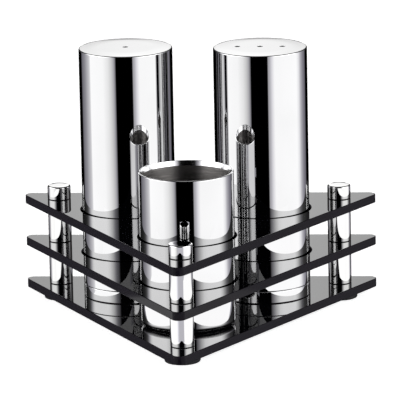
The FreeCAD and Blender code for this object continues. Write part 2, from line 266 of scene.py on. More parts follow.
def _turned_right(direction: np.ndarray) -> np.ndarray:
    """The direction turned right by a quarter."""
    return np.array([direction[1], -direction[0]])


class Surface:
    """Points, normals and faces of one closed piece."""

    def __init__(self) -> None:
        """Starts with nothing."""
        self.points: list[np.ndarray] = []
        self.normals: list[np.ndarray] = []
        self.faces: list[list[int]] = []
        self.finishes: list[int] = []
        self.total = 0

    def _store(self, points: np.ndarray, normals: np.ndarray) -> int:
        """Adds points and returns the number of the first."""
        first = self.total
        self.points.append(points)
        self.normals.append(normals)
        self.total += len(points)
        return first

    def sweep(self, path: Path, profile: Profile, finish: int | np.ndarray = 0) -> tuple[np.ndarray, np.ndarray]:
        """Carries a profile round a path.

        A point is base + offset * outward at the profile's height. Its normal is the profile's
        normal with outward in the place of the offset axis.

        Args:
            path: the closed way.
            profile: offsets and heights.
            finish: number of the material, one for all or one for each run of the profile.

        Returns:
            Point numbers of the first and of the last ring.
        """
        rows, columns = len(profile.points), len(path.base)
        offset = profile.points[:, 0][:, None, None]
        flat = path.base[None] + offset * path.outward[None]
        height = np.broadcast_to(profile.points[:, 1][:, None, None], (rows, columns, 1))
        level_normal = profile.normals[:, 0][:, None, None] * path.outward[None]
        upright_normal = np.broadcast_to(profile.normals[:, 1][:, None, None], (rows, columns, 1))
        points = np.concatenate([flat, height], axis=2).reshape(-1, 3)
        normals = np.concatenate([level_normal, upright_normal], axis=2).reshape(-1, 3)
        number = self._store(points, normals) + np.arange(rows * columns).reshape(rows, columns)
        above = np.roll(number, -1, axis=0)
        if not profile.closed:
            number_low, above = number[:-1], above[:-1]
        else:
            number_low = number
        beside = np.roll(number_low, -1, axis=1)
        beside_above = np.roll(above, -1, axis=1)
        quads = np.stack([number_low, beside, beside_above, above], axis=2)
        runs = np.broadcast_to(np.asarray(finish), (len(number_low),))
        self.faces.extend(quads.reshape(-1, 4).tolist())
        self.finishes.extend(np.repeat(runs, columns).tolist())
        return number[0], number[-1]

    def close_to_axis(self, ring: np.ndarray, centre: tuple[float, float], facing: float, finish: int = 0) -> None:
        """Closes a level ring with a fan of triangles to one point on its axis.

        Args:
            ring: point numbers of the ring, anticlockwise.
            centre: place of the axis.
            facing: UP or DOWN.
            finish: number of the material.
        """
        height = float(np.concatenate(self.points)[ring[0], 2])
        pole = self._store(np.array([[*centre, height]]), np.array([[0, 0, facing]]))
        following = np.roll(ring, -1)
        first, second = (ring, following) if facing > 0 else (following, ring)
        fan = np.stack([first, second, np.full(len(ring), pole)], axis=1)
        self.faces.extend(fan.tolist())
        self.finishes.extend([finish] * len(fan))

    def close_with_holes(
        self, ring: np.ndarray, holes: Sequence[np.ndarray], facing: float, finish: int = 0
    ) -> None:
        """Closes a level ring with triangles that leave out its holes.

        Args:
            ring: point numbers of the outer ring.
            holes: point numbers of each hole's ring.
            facing: UP or DOWN.
            finish: number of the material.
        """
        points = np.concatenate(self.points)
        loops = [ring, *holes]
        number = np.concatenate(loops)
        filled = tessellate_polygon([[Vector(point) for point in points[loop]] for loop in loops])
        triangles = number[np.array(filled, int)]
        corner = points[triangles][:, :, :2]
        first = corner[:, 1] - corner[:, 0]
        second = corner[:, 2] - corner[:, 0]
        area = (first[:, 0] * second[:, 1] - first[:, 1] * second[:, 0]) / 2
        wanted = _loop_area(points[ring]) - sum(_loop_area(points[hole]) for hole in holes)
        if abs(np.abs(area).sum() - wanted) > AREA_SHARE * wanted:
            raise RuntimeError("a flat face was not filled as its rings say")
        backwards = area * facing < 0
        triangles[backwards] = triangles[backwards][:, ::-1]
        self.faces.extend(triangles.tolist())
        self.finishes.extend([finish] * len(triangles))

    def add_flat(self, outline: np.ndarray, height: float) -> None:
        """Adds one level face that looks up.

        Args:
            outline: its corners seen from above, anticlockwise.
            height: its level.
        """
        count = len(outline)
        points = np.column_stack([outline, np.full(count, height)])
        first = self._store(points, np.tile([0.0, 0.0, UP], (count, 1)))
        self.faces.append(list(range(first, first + count)))
        self.finishes.append(0)

    def add_wall(self, line: np.ndarray, low: np.ndarray, high: float, towards: np.ndarray) -> None:
        """Adds an upright strip that faces a point.

        Args:
            line: its run seen from above, anticlockwise round the point.
            low: height of the lower edge along the run.
            high: height of the upper edge.
            towards: the point that it faces.
        """
        count = len(line)
        inward = towards - line
        inward = inward / np.linalg.norm(inward, axis=1)[:, None]
        normals = np.column_stack([inward, np.zeros(count)])
        lower = np.column_stack([line, low])
        upper = np.column_stack([line, np.full(count, high)])
        first = self._store(np.vstack([lower, upper]), np.vstack([normals, normals]))
        start = first + np.arange(count - 1)
        quads = np.stack([start + 1, start, start + count, start + count + 1], axis=1)
        self.faces.extend(quads.tolist())
        self.finishes.extend([0] * len(quads))

    def make(self, name: str, materials: Sequence[bpy.types.Material]) -> bpy.types.Object:
        """Puts the arrays into a mesh object with smooth shading and the worked-out normals.

        Args:
            name: name of the piece.
            materials: its materials, in the order of the finish numbers.

        Returns:
            The new object, at the origin.
        """
        mesh = bpy.data.meshes.new(name)
        mesh.from_pydata(np.concatenate(self.points).tolist(), [], self.faces)
        mesh.polygons.foreach_set("material_index", self.finishes)
        mesh.polygons.foreach_set("use_smooth", [True] * len(self.faces))
        mesh.update()
        mesh.normals_split_custom_set_from_vertices(np.concatenate(self.normals).tolist())
        for material in materials:
            mesh.materials.append(material)
        made = bpy.data.objects.new(name, mesh)
        bpy.context.scene.collection.objects.link(made)
        return made


def buffed_corner(reach: float, high: float, edge_round: float, roll: float) -> list[tuple[float, ...]]:
    """The corners of an outside's top edge that was buffed.

    The wall turns by the edge's radius into a run that still slopes by a few degrees, and this
    turns by a much larger radius into what lies further in.

    Args:
        reach: offset of the wall.
        high: height of the inner end of the sloping run.
        edge_round: radius of the edge.
        roll: length of the sloping run.

    Returns:
        Two corners for Profile.rounded.
    """
    inner = reach - roll * math.cos(ROLL_ANGLE)
    shoulder = high - roll * math.sin(ROLL_ANGLE)
    return [(reach, shoulder, edge_round), (inner, high, ROLL_ROUNDNESS * roll)]


def _loop_area(points: np.ndarray) -> float:
    """Area inside a level loop: half the summed cross products of neighbouring points."""
    x, y = points[:, 0], points[:, 1]
    return abs(float(np.sum(x * np.roll(y, -1) - y * np.roll(x, -1)))) / 2


def set_up(piece: bpy.types.Object, body: str, node: str | None) -> None:
    """Seats a piece on its body and lets it stand for its node.

    Args:
        piece: the new object.
        body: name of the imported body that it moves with.
        node: the node that it replaces, if it replaces one.
    """
    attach(piece, body)
    if node is not None:
        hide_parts(node)
    LOG.info("%s: %d faces, rides on %s", piece.name, len(piece.data.polygons), body)


class Signal:
    """A socket's value, on which Python's operators add Math nodes."""

    def __init__(self, graph: "Graph", socket: bpy.types.NodeSocket) -> None:
        """Keeps the socket and the graph that it belongs to."""
        self.graph = graph
        self.socket = socket

    def _math(self, operation: str, *values: "Signal | float") -> "Signal":
        """One Math node of that operation."""
        return self.graph.add("ShaderNodeMath", {"operation": operation}, dict(enumerate(values)))

    def __add__(self, other: "Signal | float") -> "Signal":
        """Sum."""
        return self._math("ADD", self, other)

    __radd__ = __add__

    def __sub__(self, other: "Signal | float") -> "Signal":
        """Difference."""
        return self._math("SUBTRACT", self, other)

    def __rsub__(self, other: "Signal | float") -> "Signal":
        """Difference, the other way round."""
        return self._math("SUBTRACT", other, self)

    def __mul__(self, other: "Signal | float") -> "Signal":
        """Product."""
        return self._math("MULTIPLY", self, other)

    __rmul__ = __mul__

    def __truediv__(self, other: "Signal | float") -> "Signal":
        """Quotient."""
        return self._math("DIVIDE", self, other)

    def __abs__(self) -> "Signal":
        """Size without sign."""
        return self._math("ABSOLUTE", self)

    def above(self, low: float, high: float) -> "Signal":
        """Rises smoothly from 0 at low to 1 at high."""
        settings = {"interpolation_type": "SMOOTHSTEP"}
        return self.graph.add("ShaderNodeMapRange", settings, {0: self, 1: low, 2: high, 3: 0.0, 4: 1.0})

    def below(self, low: float, high: float) -> "Signal":
        """Falls smoothly from 1 at low to 0 at high."""
        return 1.0 - self.above(low, high)


class Graph:
    """A node tree that is written as Python expressions."""

    def __init__(self, tree: bpy.types.NodeTree) -> None:
        """Empties the tree.

        Args:
            tree: the tree of a material or of the world.
        """
        tree.nodes.clear()
        self.tree = tree

    def add(
        self,
        kind: str,
        settings: dict[str, object] | None = None,
        inputs: dict[int | str, object] | None = None,
        output: int | str = 0,
    ) -> Signal:
        """Adds a node, sets it up and fills its sockets.

        Args:
            kind: the node's type.
            settings: its own settings, set first; stops are the places and colours of a ramp.
            inputs: value or signal of each socket, by number or name.
            output: the socket that is wanted.

        Returns:
            The wanted output.
        """
        node = self.tree.nodes.new(kind)
        for name, value in (settings or {}).items():
            if name == "stops":
                self._set_stops(node.color_ramp, value)
            else:
                setattr(node, name, value)
        for name, value in (inputs or {}).items():
            if isinstance(value, Signal):
                self.tree.links.new(value.socket, node.inputs[name])
            else:
                node.inputs[name].default_value = value
        return Signal(self, node.outputs[output]) if len(node.outputs) else Signal(self, None)

    @staticmethod
    def _set_stops(ramp: bpy.types.ColorRamp, stops: Sequence[tuple[float, tuple[float, float, float]]]) -> None:
        """Gives a ramp its stops, each a place and a colour."""
        while len(ramp.elements) < len(stops):
            ramp.elements.new(1.0)
        for element, (place, colour) in zip(ramp.elements, stops):
            element.position = place
            element.color = (*colour, 1.0)

    def place(self, stretch: tuple[float, float, float] = (1, 1, 1)) -> Signal:
        """Object coordinates, stretched.

        Args:
            stretch: factor along each axis.

        Returns:
            The coordinates.
        """
        here = self.add("ShaderNodeTexCoord", output="Object")
        return self.add("ShaderNodeMapping", inputs={"Vector": here, "Scale": stretch})

    def noise(self, where: Signal, scale: float, detail: float = 2.0, roughness: float = 0.5) -> Signal:
        """Noise between 0 and 1.

        Args:
            where: coordinates.
            scale: features in each metre.
            detail: octaves.
            roughness: weight of the finer octaves.

        Returns:
            The noise.
        """
        inputs = {"Vector": where, "Scale": scale, "Detail": detail, "Roughness": roughness}
        return self.add("ShaderNodeTexNoise", inputs=inputs)

    def blend(self, share: Signal | float, first: object, second: object) -> Signal:
        """A colour between two, by share."""
        settings = {"data_type": "RGBA"}
        return self.add("ShaderNodeMix", settings, {0: share, 6: first, 7: second}, output=2)

    def bump(self, height: Signal, depth: float, under: Signal | None = None) -> Signal:
        """A normal bent by a height field.

        Args:
            height: heights between 0 and 1.
            depth: metres that a height of 1 stands for.
            under: a normal that is bent already.

        Returns:
            The normal.
        """
        inputs: dict[int | str, object] = {"Height": height, "Distance": depth, "Strength": 1.0}
        if under is not None:
            inputs["Normal"] = under
        return self.add("ShaderNodeBump", inputs=inputs)


def colour(red: float, green: float, blue: float) -> tuple[float, float, float, float]:
    """An opaque colour in linear light."""
    return (red, green, blue, 1.0)


def new_material(name: str, dress: Callable[[Graph], dict[int | str, object]]) -> bpy.types.Material:
    """Makes a material from a function that fills the sockets of its one shader.

    Args:
        name: name of the material.
        dress: takes the graph and returns the shader's sockets.

    Returns:
        The material.
    """
    material = bpy.data.materials.new(name)
    material.use_nodes = True
    graph = Graph(material.node_tree)
    shader = graph.add("ShaderNodeBsdfPrincipled", inputs=dress(graph), output="BSDF")
    graph.add("ShaderNodeOutputMaterial", inputs={"Surface": shader})
    return material


def glowing(
    name: str, tint: tuple[float, float, float, float], strength: float, more: float = 0.0, spread: float = 1.0
) -> bpy.types.Material:
    """A stage material that glows from its front and lets light through from behind.

    Args:
        name: name of the material.
        tint: its colour.
        strength: its brightness.
        more: what is added to the brightness at its left end.
        spread: how far to the left of the middle the left end lies.

    Returns:
        The material.
    """
    material = bpy.data.materials.new(name)
    material.use_nodes = True
    graph = Graph(material.node_tree)
    aside = graph.add("ShaderNodeSeparateXYZ", inputs={0: graph.place()}, output=0)
    bright = strength + more * aside.below(-spread, -0.45 * spread)
    glow = graph.add("ShaderNodeEmission", inputs={"Color": tint, "Strength": bright})
    clear = graph.add("ShaderNodeBsdfTransparent")
    behind = graph.add("ShaderNodeNewGeometry", output="Backfacing")
    shader = graph.add("ShaderNodeMixShader", inputs={0: behind, 1: glow, 2: clear})
    graph.add("ShaderNodeOutputMaterial", inputs={"Surface": shader})
    return material


def show_only_to(stage: bpy.types.Object, kept: str) -> None:
    """Hides a stage object from all kinds of rays but one.

    Args:
        stage: the object.
        kept: the kind that still sees it.
    """
    for kind in ("camera", "diffuse", "glossy", "transmission", "volume_scatter", "shadow"):
        setattr(stage, f"visible_{kind}", kind == kept)


@dataclass(frozen=True)
class MirrorSteel:
    """Drawn steel or chrome, buffed to a mirror, with faint wiping and polishing marks."""

    name: str
    tint: tuple[float, float, float]
    gloss: float
    pitting: float
    hairline_depth: float = 0.03e-6
    sway_depth: float = 0.2e-6

    def build(self) -> bpy.types.Material:
        """The material: mirror reflections that a breath of grain and sway keeps from being perfect."""
        return new_material(self.name, self._dress)

    def _dress(self, graph: Graph) -> dict[int | str, object]:
        """Sockets of the shader: wiping marks drive tint and gloss, three scales of height the normal."""
        wiped = graph.noise(graph.place(), 55.0, 3.0).above(0.35, 0.75)
        hairlines = graph.noise(graph.place((140.0, 140.0, 5200.0)), 1.0, 2.0, 0.6)
        pits = graph.noise(graph.place(), 1500.0, 2.0, 0.7)
        sway = graph.noise(graph.place((1.0, 1.0, 0.05)), 130.0, 1.0)
        bright = colour(*self.tint)
        dull = colour(*(0.965 * part for part in self.tint))
        normal = graph.bump(sway, self.sway_depth)
        normal = graph.bump(pits, self.pitting, normal)
        normal = graph.bump(hairlines, self.hairline_depth, normal)
        return {
            "Base Color": graph.blend(wiped, bright, dull),
            "Metallic": 1.0,
            "Roughness": self.gloss + 0.018 * wiped + 0.012 * hairlines,
            "Normal": normal,
        }


@dataclass(frozen=True)
class SpunSteel:
    """The unpolished inside of a drawn cup, with turning marks round it."""

    name: str
    tint: tuple[float, float, float]
    dullness: float
    mark_depth: float = 10e-6
    stretch: float = 0.9
    metal_share: float = 0.9

    def build(self) -> bpy.types.Material:
        """The material: satin steel with level marks at two scales."""
        return new_material(self.name, self._dress)

    def _dress(self, graph: Graph) -> dict[int | str, object]:
        """Sockets of the shader: marks are noise that is flat round the cup and fine up its wall."""
        marks = graph.noise(graph.place((50.0, 50.0, 9000.0)), 1.0, 2.0, 0.6)
        streaks = graph.noise(graph.place((110.0, 110.0, 1500.0)), 1.0, 3.0, 0.65)
        patches = graph.noise(graph.place((1.0, 1.0, 2.5)), 90.0, 2.0)
        worked = streaks.above(0.42, 0.62) * patches.above(0.35, 0.60)
        dark = colour(*(0.55 * part for part in self.tint))
        return {
            "Base Color": graph.blend(worked, dark, colour(*self.tint)),
            "Metallic": self.metal_share,
            "Roughness": self.dullness + 0.10 * streaks,
            "Anisotropic": self.stretch,
            "Anisotropic Rotation": ACROSS_THE_MARKS,
            "Normal": graph.bump(marks, self.mark_depth),
        }


@dataclass(frozen=True)
class BlackAcrylic:
    """Black acrylic sheet: a face as cast, or an edge that was cut and then polished."""

    name: str
    tint: tuple[float, float, float]
    gloss: float
    cut_depth: float
    shine: float = 0.5

    def build(self) -> bpy.types.Material:
        """The material: deep black under a clear gloss."""
        return new_material(self.name, self._dress)

    def _dress(self, graph: Graph) -> dict[int | str, object]:
        """Sockets of the shader: haze changes the gloss, upright cutting marks bend an edge."""
        haze = graph.noise(graph.place(), 38.0, 4.0, 0.6).above(0.4, 0.8)
        dust = graph.noise(graph.place(), 1400.0, 1.0).above(0.70, 0.78)
        cuts = graph.noise(graph.place((1500.0, 1500.0, 90.0)), 1.0, 2.0)
        sway = graph.noise(graph.place(), 45.0, 1.0)
        deep = colour(*self.tint)
        dusty = colour(*(part + 0.02 for part in self.tint))
        normal = graph.bump(cuts, self.cut_depth, graph.bump(sway, 1.5e-6))
        return {
            "Base Color": graph.blend(0.35 * dust, deep, dusty),
            "Roughness": self.gloss + 0.02 * haze + 0.05 * dust,
            "IOR": 1.49,
            "Specular IOR Level": self.shine,
            "Normal": normal,
        }


@dataclass(frozen=True)
class Rubber:
    """Moulded black rubber with a fine grain and a greyer bloom."""

    name: str
    tint: tuple[float, float, float]
    grain_depth: float = 12e-6
    shine: float = 0.15

    def build(self) -> bpy.types.Material:
        """The material: dull black."""
        return new_material(self.name, self._dress)

    def _dress(self, graph: Graph) -> dict[int | str, object]:
        """Sockets of the shader: grain bends the normal, bloom lifts the colour."""
        grain = graph.noise(graph.place(), 2600.0, 3.0, 0.6)
        bloom = graph.noise(graph.place(), 300.0, 2.0).above(0.4, 0.7)
        pale = colour(*(part + 0.006 for part in self.tint))
        return {
            "Base Color": graph.blend(bloom, colour(*self.tint), pale),
            "Roughness": 0.5 + 0.2 * grain,
            "Specular IOR Level": self.shine,
            "Normal": graph.bump(grain, self.grain_depth),
        }


@dataclass(frozen=True)
class MouldedPlastic:
    """Natural white moulded plastic, slightly waxy."""

    name: str
    tint: tuple[float, float, float]

    def build(self) -> bpy.types.Material:
        """The material: white with faint flow marks."""
        return new_material(self.name, self._dress)

    def _dress(self, graph: Graph) -> dict[int | str, object]:
        """Sockets of the shader: flow marks change colour and gloss a little."""
        flow = graph.noise(graph.place((1.0, 1.0, 0.3)), 160.0, 3.0)
        grain = graph.noise(graph.place(), 3200.0, 2.0)
        warm = colour(*(0.93 * part for part in self.tint))
        return {
            "Base Color": graph.blend(flow, colour(*self.tint), warm),
            "Roughness": 0.34 + 0.14 * flow,
            "Normal": graph.bump(grain, 4e-6),
        }


@dataclass(frozen=True)
class PlatedScrew:
    """Zinc-plated screw steel."""

    name: str
    tint: tuple[float, float, float]

    def build(self) -> bpy.types.Material:
        """The material: satin metal with clouding."""
        return new_material(self.name, self._dress)

    def _dress(self, graph: Graph) -> dict[int | str, object]:
        """Sockets of the shader: clouds change colour and gloss."""
        clouds = graph.noise(graph.place(), 900.0, 3.0)
        blue = colour(0.80 * self.tint[0], 0.84 * self.tint[1], 0.90 * self.tint[2])
        return {
            "Base Color": graph.blend(clouds, colour(*self.tint), blue),
            "Metallic": 1.0,
            "Roughness": 0.24 + 0.16 * clouds,
            "Normal": graph.bump(clouds, 3e-6),
        }


@dataclass
class Finishes:
    """All materials of the set, each made once."""

    shaker: bpy.types.Material = field(init=False)
    shaker_top: bpy.types.Material = field(init=False)
    cup: bpy.types.Material = field(init=False)
    cup_band: bpy.types.Material = field(init=False)
    cup_inside: bpy.types.Material = field(init=False)
    shell_inside: bpy.types.Material = field(init=False)
    chrome: bpy.types.Material = field(init=False)
    acrylic: bpy.types.Material = field(init=False)
    acrylic_edge: bpy.types.Material = field(init=False)
    foot: bpy.types.Material = field(init=False)
    seal: bpy.types.Material = field(init=False)
    plug: bpy.types.Material = field(init=False)
    screw: bpy.types.Material = field(init=False)

    def __post_init__(self) -> None:
        """Makes the materials."""
        steel = (0.64, 0.64, 0.645)
        self.shaker = MirrorSteel("buffed_shaker_steel", steel, 0.012, 0.004e-6).build()
        # The top's steel is tinted darker than the body's: a painted shade that dims the reflection on the top faces;
        # only its slightly higher roughness is a real finish.
        self.shaker_top = MirrorSteel("lapped_shaker_top", (0.56, 0.56, 0.56), 0.02, 0.004e-6).build()
        self.cup = MirrorSteel("buffed_cup_steel", steel, 0.012, 0.004e-6).build()
        self.chrome = MirrorSteel("post_chrome", (0.67, 0.668, 0.665), 0.01, 0.004e-6).build()
        self.cup_band = MirrorSteel("buffed_cup_band", steel, 0.12, 0.004e-6).build()
        # The cup's inside is tinted about half as bright as the shell's inside: a painted shade in the recess; its
        # spun marks and their stretched gloss are real.
        self.cup_inside = SpunSteel("spun_cup_inside_painted_shade", (0.33, 0.315, 0.305), 0.34, 4e-6, 0.95).build()
        self.shell_inside = SpunSteel("drawn_shell_inside", (0.58, 0.58, 0.58), 0.36).build()
        self.acrylic = BlackAcrylic("acrylic_face", (0.003, 0.003, 0.004), 0.01, 0.0).build()
        self.acrylic_edge = BlackAcrylic("acrylic_edge", (0.005, 0.004, 0.0065), 0.10, 1.5e-6, 0.06).build()
        self.foot = Rubber("foot_rubber", (0.005, 0.005, 0.006)).build()
        self.seal = Rubber("seal_rubber", (0.016, 0.015, 0.015), 6e-6).build()
        self.plug = MouldedPlastic("plug_plastic", (0.80, 0.80, 0.77)).build()
        self.screw = PlatedScrew("screw_zinc", (0.70, 0.71, 0.72)).build()


@dataclass
class Rack:
    """The acrylic plates with the feet, tubes, screws and knobs of the three posts."""

    finishes: Finishes
    corner_radius: float = 2.5 * MM
    edge_break: float = 0.2 * MM
    hole_break: float = 0.08 * MM
    canister_hole_radius: float = 16.75 * MM
    screw_hole_radius: float = 2.2 * MM
    spacer_bore_radius: float = 2.5 * MM
    spacer_end_round: float = 0.3 * MM
    bore_round: float = 0.1 * MM
    knob_top_round: float = 0.5 * MM
    knob_roll: float = 1.6 * MM
    foot_round: float = 0.5 * MM
    foot_top_round: float = 0.15 * MM
    body: str = "stand"

    def build(self) -> None:
        """Makes the plates, then each post from the foot up."""
        for tier in Tier:
            self._plate(tier)
        for side in Side:
            self._foot(side)
            self._tube(f"{side.value}_lower_spacer")
            self._tube(f"{side.value}_upper_spacer")
            self._knob(side)
            self._screw(side)

    def _plate(self, tier: Tier) -> None:
        """A plate: its edge and every hole are rounded strips, its faces are flat between them.

        The outline is an equal-sided triangle with round corners. Its corner centres lie under
        the posts' lines, one corner radius inside the plate's lowest and highest corner in the
        frame.

        Args:
            tier: which plate.
        """
        low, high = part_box(tier.value)
        radius = self.corner_radius
        centres = np.array(
            [
                (0.0, low.y + radius),
                (high.x - radius, high.y - radius),
                (low.x + radius, high.y - radius),
            ]
        )
        made = Surface()
        edge = self._edge(radius, low.z, high.z, self.edge_break)
        outline = Path.round_corners(centres, 2 * ARC_STEPS)
        lower_ring, upper_ring = made.sweep(outline, edge, self._cut(edge))
        lower_holes = []
        upper_holes = []
        holes = [(Turned.of(f"{side.value}_screw").axis, self.screw_hole_radius, HOLE_ROUND) for side in Side]
        if tier is not Tier.BASE:
            wide = [Turned.of(node).axis for node in ("salt_shell", "pepper_shell", "toothpick_cup")]
            holes += [(axis, self.canister_hole_radius, FINE_ROUND) for axis in wide]
        for axis, hole_radius, count in holes:
            wall = self._edge(hole_radius, high.z, low.z, self.hole_break)
            upper, lower = made.sweep(Path.circle(axis, count), wall, self._cut(wall))
            upper_holes.append(upper)
            lower_holes.append(lower)
        made.close_with_holes(upper_ring, upper_holes, UP)
        made.close_with_holes(lower_ring, lower_holes, DOWN)
        piece = made.make(f"{tier.value}_acrylic", [self.finishes.acrylic, self.finishes.acrylic_edge])
        set_up(piece, self.body, tier.value)

    @staticmethod
    def _edge(reach: float, start: float, end: float, break_round: float) -> Profile:
        """An upright edge between two flat faces, with both its corners broken.

        Upwards it is the edge of a disc and downwards that of a hole.

        Args:
            reach: offset of the edge.
            start: height of the first face.
            end: height of the second face.
            break_round: radius of the broken corners.

        Returns:
            The profile, with a short level run at either end.
        """
        inner = reach - math.copysign(2 * break_round, end - start)
        corners = [(inner, start), (reach, start, break_round), (reach, end, break_round), (inner, end)]
        return Profile.rounded(corners)

    @staticmethod
    def _cut(edge: Profile) -> np.ndarray:
        """Finish of each run of an edge: 1 where it was cut, 0 where it still lies in a face."""
        return (np.abs(edge.normals[1:] + edge.normals[:-1])[:, 1] < 2 * LEVEL_SHARE).astype(int)

    def _tube(self, node: str) -> None:
        """A spacer: a closed profile of bore, ends and outside, turned about the post's axis.

        Args:
            node: name of the spacer's node.
        """
        place = Turned.of(node)
        bore = self.spacer_bore_radius
        wall = Profile.rounded(
            [
                (bore, place.low, self.bore_round),
                (place.radius, place.low, self.spacer_end_round),
                (place.radius, place.high, self.spacer_end_round),
                (bore, place.high, self.bore_round),
            ],
            closed=True,
        )
        made = Surface()
        made.sweep(Path.circle(place.axis, SMALL_ROUND), wall)
        set_up(made.make(f"{node}_tube", [self.finishes.chrome]), self.body, node)

    def _knob(self, side: Side) -> None:
        """A knob: the outside turned about the post's axis, with a flat top and a blind bore.

        Args:
            side: the post's corner.
        """
        node = f"{side.value}_knob"
        place = Turned.of(node)
        screw_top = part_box(f"{side.value}_screw")[1].z
        bore = self.screw_hole_radius
        depth = screw_top + self.bore_round
        made = Surface()
        outside = Profile.rounded(
            [
                (bore - self.bore_round, depth),
                (bore, depth, self.bore_round / 2),
                (bore, place.low, self.bore_round),
                (place.radius, place.low, self.spacer_end_round),
                *buffed_corner(place.radius, place.high, self.knob_top_round, self.knob_roll),
                (place.radius / 3, place.high),
            ]
        )
        inner, outer = made.sweep(Path.circle(place.axis, SMALL_ROUND), outside)
        made.close_to_axis(outer, place.axis, UP)
        made.close_to_axis(inner, place.axis, DOWN)
        set_up(made.make(f"{node}_chrome", [self.finishes.chrome]), self.body, node)

    def _foot(self, side: Side) -> None:
        """A foot: a disc with a round lower edge.

        Args:
            side: the post's corner.
        """
        node = f"{side.value}_foot"
        place = Turned.of(node)
        made = Surface()
        outside = Profile.rounded(
            [
                (place.radius - 2 * self.foot_round, place.low),
                (place.radius, place.low, self.foot_round),
                (place.radius, place.high, self.foot_top_round),
                (place.radius - 2 * self.foot_round, place.high),
            ]
        )
        lower, upper = made.sweep(Path.circle(place.axis, SMALL_ROUND), outside)
        made.close_to_axis(lower, place.axis, DOWN)
        made.close_to_axis(upper, place.axis, UP)
        set_up(made.make(f"{node}_pad", [self.finishes.foot]), self.body, node)

    def _screw(self, side: Side) -> None:
        """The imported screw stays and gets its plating.

        Args:
            side: the post's corner.
        """
        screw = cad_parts[f"{side.value}_screw"]
        screw.data.materials.clear()
        screw.data.materials.append(self.finishes.screw)


